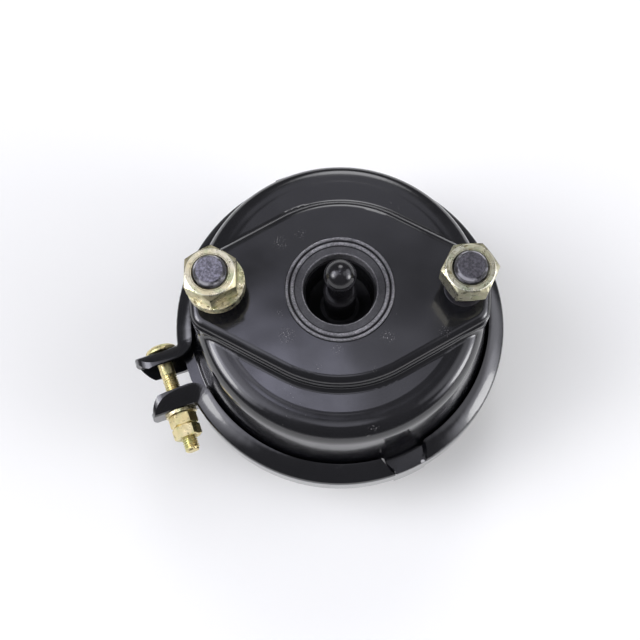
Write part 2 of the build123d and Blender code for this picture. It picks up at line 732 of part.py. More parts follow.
# Diaphragm: a cup that lines the rear housing, its thick bead held between the two flanges
with BuildPart() as diaphragm:
    inner_gap = floor_gap + diaphragm_thickness
    bead_outer = flange_radius - running_gap
    half = diaphragm_thickness / 2
    joint_z = -joint_depth
    low_corner = (rear_wall_at(diaphragm_z, floor_gap), diaphragm_z)
    low_bend = (rear_wall_at(joint_z - half, floor_gap), joint_z - half)
    top_bend = (rear_wall_at(joint_z + half, inner_gap), joint_z + half)
    top_corner_z = diaphragm_z + diaphragm_thickness
    top_corner = (rear_wall_at(top_corner_z, inner_gap), top_corner_z)
    bead_inner = flange_radius - bead_width
    bead = [(bead_inner, joint_z - half), (bead_inner, joint_z - bead_half)]
    bead += [(bead_outer, joint_z - bead_half), (bead_outer, joint_z + bead_half)]
    bead += [(bead_inner, joint_z + bead_half), (bead_inner, joint_z + half)]
    with BuildSketch(Plane.XZ):
        with BuildLine():
            Polyline((0, diaphragm_z), low_corner, low_bend, *bead, top_bend, top_corner,
                     (0, top_corner_z), close=True)
        make_face()
        round_corner(low_corner, rear_corner_radius - floor_gap)
        round_corner(top_corner, rear_corner_radius - inner_gap)
        round_corner(low_bend, diaphragm_top_bend - diaphragm_thickness)
        round_corner(top_bend, diaphragm_top_bend)
    revolve(axis=Axis.Z)
save(diaphragm.part, "diaphragm")

# Push rod with its ball end, then the plate it pushes from and the hub ring that steadies it
with BuildPart() as pushrod:
    with BuildSketch(Plane.XZ):
        with BuildLine():
            ball_z = rod_projection - ball_radius
            neck_top = (neck_radius, ball_z - sqrt(ball_radius**2 - neck_radius**2))
            chamfer_z = -shoulder_depth - shoulder_chamfer
            groove_z = chamfer_z - ring_groove_width
            ledge_radius = rod_radius - shoulder_chamfer
            groove_radius = rod_radius - ring_groove_depth
            points = [(0, plate_bottom_z), (spigot_radius, plate_bottom_z), (spigot_radius, plate_top_z)]
            points += [(rod_radius, plate_top_z), (rod_radius, groove_z - ring_groove_width)]
            points += [(groove_radius, groove_z - ring_groove_width), (groove_radius, groove_z)]
            points += [(rod_radius, groove_z), (rod_radius, chamfer_z), (ledge_radius, -shoulder_depth)]
            points += [(neck_radius, -shoulder_depth), neck_top]
            Polyline(*points)
            ThreePointArc(neck_top, (ball_radius, ball_z), (0, rod_projection))
            Line((0, rod_projection), points[0])
        make_face()
    revolve(axis=Axis.Z)
save(pushrod.part, "pushrod")

with BuildPart() as push_plate:
    rim_top = plate_top_z + plate_rim
    plate_bore = spigot_radius + fit_gap
    rim_foot = (plate_radius - plate_thickness, plate_top_z)
    rim_corner = (plate_radius, plate_bottom_z)
    with BuildSketch(Plane.XZ):
        with BuildLine():
            Polyline((plate_bore, plate_bottom_z), rim_corner, (plate_radius, rim_top),
                     (rim_foot[0], rim_top), rim_foot, (plate_bore, plate_top_z), close=True)
        make_face()
        round_corner(rim_corner, plate_corner_radius)
        round_corner(rim_foot, plate_corner_radius - plate_thickness)
    revolve(axis=Axis.Z)
save(push_plate.part, "push_plate")

with BuildPart() as plate_hub:
    ring(rod_radius + fit_gap, hub_radius, plate_top_z, plate_top_z + hub_height)
save(plate_hub.part, "plate_hub")
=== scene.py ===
"""Looks of the air brake chamber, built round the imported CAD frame. Lengths are in metres."""
from math import cos, pi, radians, sin

import bpy
from mathutils import Matrix, Vector, noise


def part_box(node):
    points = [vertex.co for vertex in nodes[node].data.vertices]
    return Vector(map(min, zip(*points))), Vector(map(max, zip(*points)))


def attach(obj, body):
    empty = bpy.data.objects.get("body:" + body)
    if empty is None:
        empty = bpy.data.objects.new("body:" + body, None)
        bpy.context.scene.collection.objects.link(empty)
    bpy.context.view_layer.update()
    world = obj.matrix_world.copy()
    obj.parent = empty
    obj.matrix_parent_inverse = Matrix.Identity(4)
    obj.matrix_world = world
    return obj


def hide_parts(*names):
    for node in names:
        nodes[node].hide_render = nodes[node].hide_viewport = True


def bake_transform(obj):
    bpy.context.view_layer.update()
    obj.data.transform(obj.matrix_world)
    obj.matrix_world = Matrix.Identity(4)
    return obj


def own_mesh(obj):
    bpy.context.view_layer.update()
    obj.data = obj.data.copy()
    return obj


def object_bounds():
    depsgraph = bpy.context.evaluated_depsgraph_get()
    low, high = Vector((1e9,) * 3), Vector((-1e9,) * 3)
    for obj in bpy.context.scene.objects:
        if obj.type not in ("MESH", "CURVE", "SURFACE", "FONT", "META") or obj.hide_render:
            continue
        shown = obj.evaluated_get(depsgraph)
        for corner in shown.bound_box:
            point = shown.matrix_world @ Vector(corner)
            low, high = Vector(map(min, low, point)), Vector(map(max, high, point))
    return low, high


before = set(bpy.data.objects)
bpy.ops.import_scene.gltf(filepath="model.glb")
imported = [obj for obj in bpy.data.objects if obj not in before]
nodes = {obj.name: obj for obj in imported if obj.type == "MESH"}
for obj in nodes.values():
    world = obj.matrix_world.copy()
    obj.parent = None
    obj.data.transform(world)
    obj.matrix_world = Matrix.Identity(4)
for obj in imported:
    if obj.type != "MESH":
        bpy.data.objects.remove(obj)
cad_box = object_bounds()

MM = 0.001

# Camera, fitted to the photograph
view_azimuth = radians(2.16)
view_elevation = radians(74.72)
view_roll = radians(-2.98)
view_distance = 0.5514
view_offset = (0.00968, 0.03435)
view_centre_drop = 0.0625
view_lens = 63.9
sensor_width = 36.0

# Mounting studs, in millimetres
stud_x = 60.325
stud_length = 31.5
stud_shank = 8.0
stud_shank_end = 6.2
stud_collar = 10.0
stud_collar_top = 0.4
stud_chamfer = 1.8
stud_crest = 7.8
stud_root = 7.05
stud_pitch = 1.5
stud_shank_top = 6.4
stud_head_top = -8.0
stud_head_thickness = 5.0
stud_head_radius = 12.5
stud_head_flat = 9.4
stud_end_worn = 6.0

# Clamp bolt, in millimetres
bolt_crest = 4.0
bolt_root = 3.35
bolt_pitch = 1.25
bolt_length = 55.5
bolt_head_radius = 8.6
bolt_head_rim = 1.2
bolt_head_rise = 3.6
bolt_square = 4.0
bolt_square_end = 2.4
bolt_thread_start = 12.0
bolt_thread_end = 54.5
bolt_end = 3.0
ear_face = 16.7
washer_thickness = 1.6

# Mouth seal, in millimetres
seal_bore = 18.0
seal_foot = -6.35
seal_step = -4.55
seal_neck = 20.95
seal_lip_under = -1.45
seal_outside = 26.6
seal_groove = 24.5
seal_dish_edge = 22.2
seal_sway = 0.10

# Heights on the front housing and the clamp band between which a form is shaded, in metres
boss_wall_span = (-0.0056, -0.0024)
shelf_span = (-0.0078, -0.0030)
shelf_reach_span = (0.0605, 0.0730)
shell_form_height = 0.0031
band_lip_span = (-0.0530, -0.0444)
band_form_height = 0.0020

# Round pieces
turned_steps = 96
bolt_steps = 64
seal_steps = 240
dome_rows = 10

# Light
softbox_distance = 2.4
softbox_size = 0.88
table_size = 4.0
table_glow = 0.10


def smooth(obj, sharp_angle=35):
    """Shade a piece smoothly, with crisp edges where faces meet at more than an angle."""
    for polygon in obj.data.polygons:
        polygon.use_smooth = True
    obj.data.set_sharp_from_angle(angle=radians(sharp_angle))


def turned_piece(name, plane, rows, steps, closed=False):
    """Mesh turned about plane's Z from (radius, height) rows in millimetres. A radius may be a
    function of the angle. A closed outline makes a ring, and an open one gets a cap at each end."""
    points = []
    for radius, height in rows:
        for step in range(steps):
            angle = 2 * pi * step / steps
            reach = radius(angle) if callable(radius) else radius
            points.append(plane @ Vector((reach * cos(angle) * MM, reach * sin(angle) * MM, height * MM)))
    faces = []
    for row in range(len(rows) if closed else len(rows) - 1):
        low = row * steps
        high = (row + 1) % len(rows) * steps
        for step in range(steps):
            ahead = (step + 1) % steps
            faces.append((low + step, low + ahead, high + ahead, high + step))
    if not closed:
        faces.append(tuple(reversed(range(steps))))
        faces.append(tuple(range(len(points) - steps, len(points))))
    mesh = bpy.data.meshes.new(name)
    mesh.from_pydata(points, [], faces)
    mesh.validate()
    piece = bpy.data.objects.new(name, mesh)
    bpy.context.scene.collection.objects.link(piece)
    smooth(piece)
    return piece


class Shader:
    """One material with its Principled shader and small helpers that add and link nodes."""

    def __init__(self, name, **settings):
        self.material = bpy.data.materials.new(name)
        self.material.use_nodes = True
        self.tree = self.material.node_tree
        self.surface = self.tree.nodes["Principled BSDF"]
        self.place = self.add("ShaderNodeTexCoord").outputs["Object"]
        for socket, value in settings.items():
            self.surface.inputs[socket.replace("_", " ")].default_value = value

    def add(self, kind, **attributes):
        node = self.tree.nodes.new(kind)
        for attribute, value in attributes.items():
            setattr(node, attribute, value)
        return node

    def link(self, output, target):
        self.tree.links.new(output, target)

    def noise(self, scale, detail=2.0, roughness=0.5, place=None):
        node = self.add("ShaderNodeTexNoise")
        node.inputs["Scale"].default_value = scale
        node.inputs["Detail"].default_value = detail
        node.inputs["Roughness"].default_value = roughness
        self.link(place or self.place, node.inputs["Vector"])
        return node.outputs["Fac"]

    def stretched(self, scale, turn=0.0):
        node = self.add("ShaderNodeMapping")
        node.inputs["Scale"].default_value = scale
        node.inputs["Rotation"].default_value = (0, 0, turn)
        self.link(self.place, node.inputs["Vector"])
        return node.outputs["Vector"]

    def ramp(self, value, low, high, start=0.0, end=1.0, shape="SMOOTHSTEP"):
        node = self.add("ShaderNodeMapRange", interpolation_type=shape)
        node.inputs["From Min"].default_value = low
        node.inputs["From Max"].default_value = high
        node.inputs["To Min"].default_value = start
        node.inputs["To Max"].default_value = end
        self.link(value, node.inputs["Value"])
        return node.outputs["Result"]

    def math(self, operation, first, second):
        node = self.add("ShaderNodeMath", operation=operation)
        for socket, value in zip(node.inputs, (first, second)):
            if isinstance(value, (int, float)):
                socket.default_value = value
            else:
                self.link(value, socket)
        return node.outputs[0]

    def times(self, *values):
        product = values[0]
        for value in values[1:]:
            product = self.math("MULTIPLY", product, value)
        return product

    def mix(self, factor, first, second):
        node = self.add("ShaderNodeMix", data_type="RGBA")
        self.link(factor, node.inputs["Factor"])
        for socket, colour in ((node.inputs["A"], first), (node.inputs["B"], second)):
            if isinstance(colour, tuple):
                socket.default_value = (*colour, 1)
            else:
                self.link(colour, socket)
        return node.outputs["Result"]

    def bump(self, height, distance, strength=1.0, before=None):
        node = self.add("ShaderNodeBump")
        node.inputs["Distance"].default_value = distance
        node.inputs["Strength"].default_value = strength
        self.link(height, node.inputs["Height"])
        if before:
            self.link(before, node.inputs["Normal"])
        return node.outputs["Normal"]

    def separate(self):
        node = self.add("ShaderNodeSeparateXYZ")
        self.link(self.place, node.inputs["Vector"])
        return node.outputs

    def reach(self, centre_x=0.0):
        """Distance from an upright axis whose X is given in millimetres."""
        x, y = self.separate()[:2]
        across = self.math("SUBTRACT", x, centre_x * MM)
        square = self.math("ADD", self.math("MULTIPLY", across, across), self.math("MULTIPLY", y, y))
        return self.math("POWER", square, 0.5)

    def ring(self, reach, radius, width):
        """1 on a thin ring of a radius and width in millimetres, fading to 0 beside it."""
        offset = self.math("ABSOLUTE", self.math("SUBTRACT", reach, radius * MM), 0)
        return self.ramp(offset, width * 0.2 * MM, width * MM, 1, 0)

    def near(self, centre, radius, soft=0.5):
        """1 within a radius in millimetres of a place, fading to 0 over the outer share of it."""
        node = self.add("ShaderNodeVectorMath", operation="DISTANCE")
        node.inputs[1].default_value = [value * MM for value in centre]
        self.link(self.place, node.inputs[0])
        return self.ramp(node.outputs["Value"], radius * (1 - soft) * MM, radius * MM, 1, 0)

    def paint(self, **sockets):
        for socket, output in sockets.items():
            self.link(output, self.surface.inputs[socket.replace("_", " ")])


def pressed_shell_form(shader):
    """Height that leans the boss wall outward and keeps the shelf flat up to a tighter shoulder."""
    z = shader.separate()["Z"]
    wall = shader.ramp(z, *boss_wall_span, 1, 0, "LINEAR")
    outward = shader.ramp(shader.reach(), *shelf_reach_span)
    shelf = shader.times(outward, shader.ramp(z, *shelf_span, 1, 0))
    return shader.math("ADD", shader.times(wall, 0.5), shelf), shell_form_height


def rolled_lip_form(shader):
    """Height that lays the band and ear lips flatter and rolls their inner half over."""
    rise = shader.ramp(shader.separate()["Z"], *band_lip_span, 0, 1, "LINEAR")
    rolled = shader.math("SUBTRACT", 1.0, shader.times(rise, rise, rise))
    flatter = shader.times(shader.math("SUBTRACT", 1.0, rise), 1.2)
    return shader.math("ADD", rolled, flatter), band_form_height


def black_paint(name, grit_spots=(), scuffs=(), bare_spots=(), form=None):
    """Glossy black enamel over pressed sheet, with faint waves and fine grain. Grit lies in clusters,
    scuffs are thin scratches down to primer, and bare spots show chipped metal."""
    shader = Shader(name, Roughness=0.18, Coat_Weight=0.6, Coat_Roughness=0.07)
    shade = shader.mix(shader.noise(28, 3), (0.0055, 0.0055, 0.007), (0.010, 0.010, 0.012))
    chips = shader.ramp(shader.noise(820, 2, 0.6), 0.71, 0.74)
    marks = shader.times(chips, shader.ramp(shader.noise(46, 2), 0.60, 0.72))
    fine = shader.ramp(shader.noise(1500, 2, 0.6), 0.60, 0.66)
    for centre, radius, amount in grit_spots:
        marks = shader.math("MAXIMUM", marks, shader.times(fine, shader.near(centre, radius, 0.8), amount))
    for centre, radius, turn in scuffs:
        lines = shader.noise(760, 2, 0.5, shader.stretched((1, 0.12, 1), turn))
        lines = shader.ramp(lines, 0.62, 0.68)
        marks = shader.math("MAXIMUM", marks, shader.times(lines, shader.near(centre, radius, 0.8), 0.7))
    colour = shader.mix(marks, shade, (0.30, 0.29, 0.28))
    metal = None
    for centre, radius in bare_spots:
        edge = shader.ramp(shader.noise(900, 3, 0.6), 0.30, 0.44)
        spot = shader.times(shader.near(centre, radius, 0.35), edge)
        metal = spot if metal is None else shader.math("MAXIMUM", metal, spot)
    rough = shader.ramp(shader.noise(60, 4, 0.6), 0.3, 0.8, 0.12, 0.24)
    rough = shader.math("MAXIMUM", rough, shader.times(marks, 0.6))
    if metal is not None:
        colour = shader.mix(metal, colour, (0.66, 0.65, 0.63))
        shader.paint(Metallic=metal)
        rough = shader.math("MAXIMUM", rough, shader.times(metal, 0.38))
    pressed = shader.bump(*form(shader)) if form else None
    waves = shader.bump(shader.noise(30, 1), 0.0006, 0.6, pressed)
    grain = shader.bump(shader.noise(900, 2), 0.00001, 0.6, waves)
    shader.paint(Base_Color=colour, Roughness=rough, Normal=grain, Coat_Normal=waves)
    return shader.material


def worn_black(name, centre_x, end_shade):
    """Black finish of a stud, glossy on the chamfer and worn to dull purplish metal on the end, with a patchy
    painted highlight in a ring on the chamfer.
    """
    shader = Shader(name, Metallic=0.15)
    reach = shader.reach(centre_x)
    top = shader.ramp(shader.separate()["Z"], (stud_length - 0.9) * MM, (stud_length - 0.3) * MM)
    end = shader.times(top, shader.ramp(reach, stud_end_worn * MM, (stud_end_worn + 0.6) * MM, 1, 0))
    dark = shader.mix(shader.noise(500, 3), (0.014, 0.013, 0.016), (0.034, 0.032, 0.038))
    dull = tuple(0.5 * value for value in end_shade)
    bright = tuple(1.6 * value for value in end_shade)
    worn = shader.mix(shader.ramp(shader.noise(800, 4, 0.7), 0.38, 0.66), dull, bright)
    turned = shader.ramp(shader.math("SINE", shader.times(reach, 9000), 0), 0.5, 1.0)
    turned = shader.times(turned, shader.ramp(shader.noise(240, 2), 0.52, 0.62))
    worn = shader.mix(shader.times(turned, 0.5), worn, (0.26, 0.25, 0.28))
    # Painted highlight: a patchy pale ring on the chamfer standing in for the lamps' reflection
    painted_rim_highlight = shader.times(shader.ring(reach, 7.0, 0.9), shader.ramp(shader.noise(150, 3), 0.46, 0.60))
    colour = shader.mix(shader.times(painted_rim_highlight, 0.8), shader.mix(end, dark, worn), (0.50, 0.49, 0.53))
    rough = shader.ramp(end, 0, 1, 0.26, 0.52)
    shader.paint(Base_Color=colour, Roughness=rough, Normal=shader.bump(shader.noise(900, 4), 0.00004, 0.6))
    return shader.material


def gloss_black(name):
    """Oiled black ball end."""
    shader = Shader(name, Roughness=0.14, Specular_IOR_Level=0.6)
    colour = shader.mix(shader.noise(180, 3), (0.006, 0.006, 0.007), (0.016, 0.015, 0.017))
    shader.paint(Base_Color=colour, Normal=shader.bump(shader.noise(300, 2), 0.00002, 0.5))
    return shader.material


def yellow_zinc(name, wear=0.0, nut_x=None, tint=(1.0, 1.0, 1.0)):
    """Yellow chromated zinc with its green and pink cast, brown stains and machining marks. A stud nut gets
    painted shade on its chamfer, a painted highlight round the chamfer and painted shade round its bore."""
    shader = Shader(name, Metallic=1.0)
    warm = (0.84 * tint[0], 0.75 * tint[1], 0.48 * tint[2])
    pale = (0.90 * tint[0], 0.84 * tint[1], 0.64 * tint[2])
    green = (0.62 * tint[0], 0.65 * tint[1], 0.40 * tint[2])
    brown = (0.22, 0.19, 0.09)
    painted_chamfer_shade = (0.40, 0.37, 0.22)
    painted_chamfer_highlight = (0.95, 0.93, 0.78)
    painted_bore_shade = (0.20, 0.17, 0.08)
    cast = shader.mix(shader.ramp(shader.noise(70, 2), 0.35, 0.65), pale, warm)
    colour = shader.mix(shader.ramp(shader.noise(150, 3), 0.46, 0.70), cast, green)
    stain = shader.ramp(shader.noise(330, 5, 0.72), 0.58 - 0.10 * wear, 0.72 - 0.06 * wear)
    colour = shader.mix(stain, colour, brown)
    # Stud nut: painted shade on the chamfer, a painted highlight line round it and a painted shade line round
    # the bore
    if nut_x is not None:
        reach = shader.reach(nut_x)
        outside = shader.ramp(reach, 0.0112, 0.0118)
        colour = shader.mix(shader.times(outside, 0.45), colour, painted_chamfer_shade)
        colour = shader.mix(shader.times(shader.ring(reach, 11.5, 0.35), 0.7), colour, painted_chamfer_highlight)
        colour = shader.mix(shader.times(shader.ring(reach, 9.25, 0.35), 0.6), colour, painted_bore_shade)
    rough = shader.ramp(shader.noise(320, 4), 0.3, 0.7, 0.24, 0.46)
    marks = shader.noise(900, 2, 0.5, shader.stretched((1, 1, 5)))
    dents = shader.bump(shader.noise(380, 4, 0.6), 0.00016 + 0.0009 * wear, 0.7)
    shader.paint(Base_Color=colour, Roughness=rough, Normal=shader.bump(marks, 0.00004, 0.5, dents))
    return shader.material


def dusty_rubber(name):
    """Dark rubber whose raised ribs and rough skin hold pale dust, with a painted highlight on the bore's
    edge and painted shade in the creases between the ribs.
    """
    shader = Shader(name, Specular_IOR_Level=0.35)
    reach = shader.reach()
    crest_dust_and_bore_highlight = shader.ramp(shader.separate()["Z"], 0.0006, 0.0011)
    # The thin ring on the bore's edge is a painted highlight, laid in with the dust on the crests
    crest_dust_and_bore_highlight = shader.math("MAXIMUM", crest_dust_and_bore_highlight, shader.ring(reach, 18.3, 0.5))
    # Painted shade: near-black rings in the crease between the ribs and at the foot of the inner rib
    groove_shade = shader.math("MAXIMUM", shader.ring(reach, 24.7, 0.45), shader.ring(reach, 22.1, 0.3))
    fine = shader.ramp(shader.noise(1300, 3, 0.7), 0.38, 0.66, 0.35, 1.0)
    patches = shader.ramp(shader.noise(120, 3, 0.6), 0.35, 0.65, 0.65, 1.0)
    dust_and_bore_highlight = shader.times(shader.math("ADD", shader.times(crest_dust_and_bore_highlight, 0.85), 0.15), fine, patches)
    dust_and_bore_highlight = shader.times(dust_and_bore_highlight, shader.math("SUBTRACT", 1.0, groove_shade))
    colour = shader.mix(shader.noise(120, 3), (0.026, 0.026, 0.029), (0.046, 0.045, 0.050))
    colour = shader.mix(dust_and_bore_highlight, colour, (0.40, 0.395, 0.41))
    colour = shader.mix(groove_shade, colour, (0.006, 0.006, 0.007))
    rough = shader.ramp(fine, 0, 1, 0.45, 0.8)
    grain = shader.bump(shader.noise(1500, 3), 0.00008, 0.7)
    shader.paint(Base_Color=colour, Roughness=rough, Normal=grain)
    return shader.material


def plain_rubber(name):
    """Clean black moulded rubber."""
    shader = Shader(name, Specular_IOR_Level=0.3)
    colour = shader.mix(shader.noise(90, 3), (0.005, 0.005, 0.006), (0.010, 0.010, 0.011))
    rough = shader.ramp(shader.noise(400, 3), 0.3, 0.7, 0.45, 0.65)
    shader.paint(Base_Color=colour, Roughness=rough, Normal=shader.bump(shader.noise(900, 2), 0.00004, 0.5))
    return shader.material


def bare_steel(name):
    """Rolled or drawn steel inside the chamber."""
    shader = Shader(name, Metallic=1.0)
    colour = shader.mix(shader.noise(60, 4), (0.30, 0.30, 0.31), (0.46, 0.46, 0.47))
    rough = shader.ramp(shader.noise(240, 3), 0.3, 0.7, 0.3, 0.5)
    shader.paint(Base_Color=colour, Roughness=rough, Normal=shader.bump(shader.noise(800, 2), 0.00003, 0.4))
    return shader.material


def table_top(name):
    """Plain white table that stays white to the camera and keeps the part's shadow."""
    shader = Shader(name, Roughness=0.8, Specular_IOR_Level=0.0)
    shader.paint(Base_Color=shader.mix(shader.noise(3, 2), (0.87, 0.87, 0.838), (0.89, 0.89, 0.858)))
    path = shader.add("ShaderNodeLightPath").outputs
    seen = shader.math("MAXIMUM", path["Is Camera Ray"], path["Is Glossy Ray"])
    seen = shader.math("MAXIMUM", seen, path["Is Transmission Ray"])
    shader.surface.inputs["Emission Color"].default_value = (1, 1, 1, 1)
    shader.paint(Emission_Strength=shader.times(seen, table_glow))
    return shader.material


def dress(material, *names):
    """Give one material to several CAD nodes or pieces."""
    for name in names:
        obj = nodes.get(name) or bpy.data.objects[name]
        obj.data.materials.clear()
        obj.data.materials.append(material)


# Grit and scuffs on the front housing and chips on the band, in millimetres: place, radius, then the
# amount of grit or the turn of a scuff
grit_spots = [((-29, 24.5, 0), 5, 0.8), ((-19, 29, 0), 4, 0.6), ((-26, -23, 0), 5.5, 1.0)]
grit_spots += [((-2, -30, 0), 4, 0.7), ((22.6, -24.5, 0), 4.5, 0.9), ((-10.6, -38.9, 0), 2, 1.0)]
grit_spots += [((15.5, -40.3, 0), 2, 0.9), ((15.2, -66.6, -11.4), 3.5, 1.0), ((12.8, -69.8, -14.5), 2.5, 1.0)]
grit_spots += [((50, -22, 0), 4, 0.6), ((-29, -12, 0), 2.5, 0.8)]
scuffs = [((33, 49, -8), 6, 1.3), ((-60, -34, -10), 3, 0.8)]
notch_start = Vector((20.7, -75.4, -44.8))
notch_end = Vector((27.0, -82.5, -51.5))
notch_steps = 8
notch_bare = [(notch_start.lerp(notch_end, step / notch_steps), 1.0) for step in range(notch_steps + 1)]
notch_bare.append(((41.2, -76.2, -50.2), 1.3))

paint = black_paint("black_paint", grit_spots, scuffs, form=pressed_shell_form)
rear_paint = black_paint("rear_paint")
band_paint = black_paint("band_paint", bare_spots=notch_bare, form=rolled_lip_form)
left_finish = worn_black("left_stud_finish", -stud_x, (0.165, 0.160, 0.200))
right_finish = worn_black("right_stud_finish", stud_x, (0.060, 0.057, 0.068))
ball_finish = gloss_black("ball_finish")
zinc = yellow_zinc("yellow_zinc")
washer_zinc = yellow_zinc("worn_yellow_zinc", wear=1.0)
left_nut_zinc = yellow_zinc("left_nut_zinc", 0.2, -stud_x)
right_nut_zinc = yellow_zinc("right_nut_zinc", 0.6, stud_x, (0.66, 0.70, 0.76))
clamp_zinc = yellow_zinc("clamp_zinc", 0.3, tint=(0.92, 0.87, 0.68))
seal_rubber = dusty_rubber("seal_rubber")
rubber = plain_rubber("rubber")
steel = bare_steel("bare_steel")

dress(paint, "front_housing")
dress(rear_paint, "rear_housing", "port_boss_open", "port_boss_plugged")
dress(band_paint, "clamp_band")
dress(left_finish, "stud_left")
dress(right_finish, "stud_right")
dress(ball_finish, "pushrod")
dress(left_nut_zinc, "stud_nut_left")
dress(right_nut_zinc, "stud_nut_right")
dress(washer_zinc, "stud_washer_upper", "stud_washer_lower", "clamp_washer")
dress(clamp_zinc, "clamp_nut", "clamp_lock_nut", "clamp_bolt")
dress(zinc, "port_plug", "boot_clip")
dress(seal_rubber, "mouth_seal")
dress(rubber, "vent_plug_left", "vent_plug_right", "dust_boot", "diaphragm")
dress(steel, "stud_plate", "spring_seat_ring", "return_spring", "push_plate", "plate_hub")


def replace_node(piece, name, material, body="chamber"):
    """Let a piece stand for a CAD node: hide the node, give the piece a material and, if a body is named,
    hang it on that body.
    """
    piece.data.materials.append(material)
    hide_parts(name)
    if body:
        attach(piece, body)


def thread_rows(start, end, pitch, crest_dust_and_bore_highlight, root, per_turn=8):
    """Rows of a screw thread between two heights, running out to the crest at the start."""
    def reach_at(height):
        def reach(angle):
            phase = (height / pitch - angle / (2 * pi)) % 1
            ridge = min(1, max(0, 1.7 * abs(2 * phase - 1) - 0.35))
            depth = min(1, (height - start) / pitch)
            return crest_dust_and_bore_highlight - (crest_dust_and_bore_highlight - root) * (1 - ridge) * depth
        return reach

    count = round((end - start) / pitch * per_turn)
    heights = [start + (end - start) * step / count for step in range(count + 1)]
    return [(reach_at(height), height) for height in heights]


def threaded_stud(name, side, finish):
    """Mounting stud with a real thread above its plain shank and a flat on its hidden head."""
    def head(angle):
        reach = stud_head_radius
        outward = side * cos(angle)
        return min(reach, stud_head_flat / outward) if outward > 0 else reach

    rows = [(head, stud_head_top - stud_head_thickness), (head, stud_head_top)]
    rows += [(stud_collar, stud_head_top), (stud_collar, stud_collar_top - 0.1)]
    rows += [(stud_collar - 0.3, stud_collar_top), (stud_shank, stud_collar_top)]
    rows += [(stud_shank, stud_shank_end), (stud_crest, stud_shank_top)]
    thread_end = stud_length - stud_chamfer - 0.1
    rows += thread_rows(stud_shank_top, thread_end, stud_pitch, stud_crest, stud_root)
    rows += [(stud_crest - 0.05, stud_length - stud_chamfer), (6.6, stud_length - 0.2)]
    rows += [(6.4, stud_length - 0.04), (6.1, stud_length)]
    axis = Matrix.Translation((side * stud_x * MM, 0, 0))
    piece = turned_piece(name + "_threaded", axis, rows, turned_steps)
    replace_node(piece, name, finish)


threaded_stud("stud_left", -1, left_finish)
threaded_stud("stud_right", 1, right_finish)


def node_centre(name):
    """Centre of a CAD node's box."""
    low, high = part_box(name)
    return (Vector(low) + Vector(high)) / 2


# Clamp bolt: cup head, square neck, plain shank and thread, on the line through its washer and nut
washer_centre = node_centre("clamp_washer")
bolt_line = (node_centre("clamp_lock_nut") - washer_centre).normalized()
bolt_base = washer_centre - bolt_line * (2 * ear_face + washer_thickness / 2) * MM
bolt_plane = Matrix.Translation(bolt_base) @ bolt_line.to_track_quat("Z", "Y").to_matrix().to_4x4()
dome_angles = [radians(90 * step / dome_rows) for step in range(1, dome_rows + 1)]
dome = [(bolt_head_radius * sin(angle), -bolt_head_rim - bolt_head_rise * cos(angle))
        for angle in dome_angles]


def square_neck(angle):
    """Reach of the square neck at an angle, its corners a little rounded."""
    return min(bolt_square / max(abs(cos(angle)), abs(sin(angle))), bolt_square * 1.34)


bolt_rows = dome + [(bolt_head_radius, -0.4), (bolt_head_radius - 0.5, 0), (square_neck, 0)]
bolt_rows += [(square_neck, bolt_square_end), (bolt_crest, bolt_square_end + 0.2)]
bolt_rows += thread_rows(bolt_thread_start, bolt_thread_end, bolt_pitch, bolt_crest, bolt_root)
bolt_rows += [(bolt_end + 0.2, bolt_length - 0.15), (bolt_end, bolt_length)]
bolt = turned_piece("clamp_bolt_threaded", bolt_plane, bolt_rows, bolt_steps)
replace_node(bolt, "clamp_bolt", clamp_zinc)


# Mouth seal: the CAD outline with softened, slightly uneven ribs
def seal_row(radius, height, sway):
    """One ring of the seal whose radius wanders a little round the mouth."""
    def reach(angle):
        place = Vector((3.1 * cos(angle), 3.1 * sin(angle), radius * 0.7))
        return radius + sway * noise.noise(place) + 0.35 * sway * noise.noise(place * 6)
    return reach, height


def arc_rows(start, end, rise, count, sway):
    """Rows over a rounded rib between two (radius, height) feet."""
    rows = []
    for step in range(1, count):
        share = step / count
        bulge = rise * sin(pi * share) ** 0.8
        rows.append(seal_row(start[0] + (end[0] - start[0]) * share,
                             start[1] + (end[1] - start[1]) * share + bulge, sway))
    return rows


seal_rows = [(seal_bore, -0.6), (seal_bore, seal_foot), (24.8, seal_foot), (24.8, seal_step)]
seal_rows += [(seal_neck, seal_step), (seal_neck, seal_lip_under)]
seal_rows += [(seal_outside, seal_lip_under), (seal_outside, 0.9)]
seal_rows += arc_rows((seal_outside, 0.9), (24.95, 0.1), 1.05, 10, seal_sway)
seal_rows += [seal_row(24.9, 0.1, seal_sway), seal_row(seal_groove, 0.1, seal_sway)]
seal_rows += arc_rows((seal_groove, 0.1), (seal_dish_edge, 0.45), 1.1, 10, seal_sway)
seal_dish = [(seal_dish_edge, 0.4), (20.6, 0.38), (19.2, 0.42), (18.7, 0.45), (18.35, 0.3), (18.1, 0.0)]
seal_rows += [seal_row(radius, height, seal_sway) for radius, height in seal_dish]
seal = turned_piece("mouth_seal_ribbed", Matrix.Identity(4), seal_rows, seal_steps, closed=True)
replace_node(seal, "mouth_seal", seal_rubber)


def soft_copy(node, name, material, body=None):
    """A copy of a CAD node's mesh that stands for the node, hung on a body if one is given."""
    mesh = nodes[node].data.copy()
    mesh.name = name
    mesh.materials.clear()
    piece = bpy.data.objects.new(name, mesh)
    bpy.context.scene.collection.objects.link(piece)
    replace_node(piece, node, material, body)
    return piece


diaphragm = soft_copy("diaphragm", "diaphragm_skin", rubber)
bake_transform(diaphragm)

boot = soft_copy("dust_boot", "boot_skin", rubber)
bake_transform(boot)

spring = soft_copy("return_spring", "spring_coil", steel, "chamber")
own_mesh(spring)

# Floor
lowest = Vector(cad_box[0]).z
bpy.ops.mesh.primitive_plane_add(size=table_size, location=(0, 0, lowest))
floor = bpy.context.object
floor.name = "table"
floor.data.materials.append(table_top("table_top"))


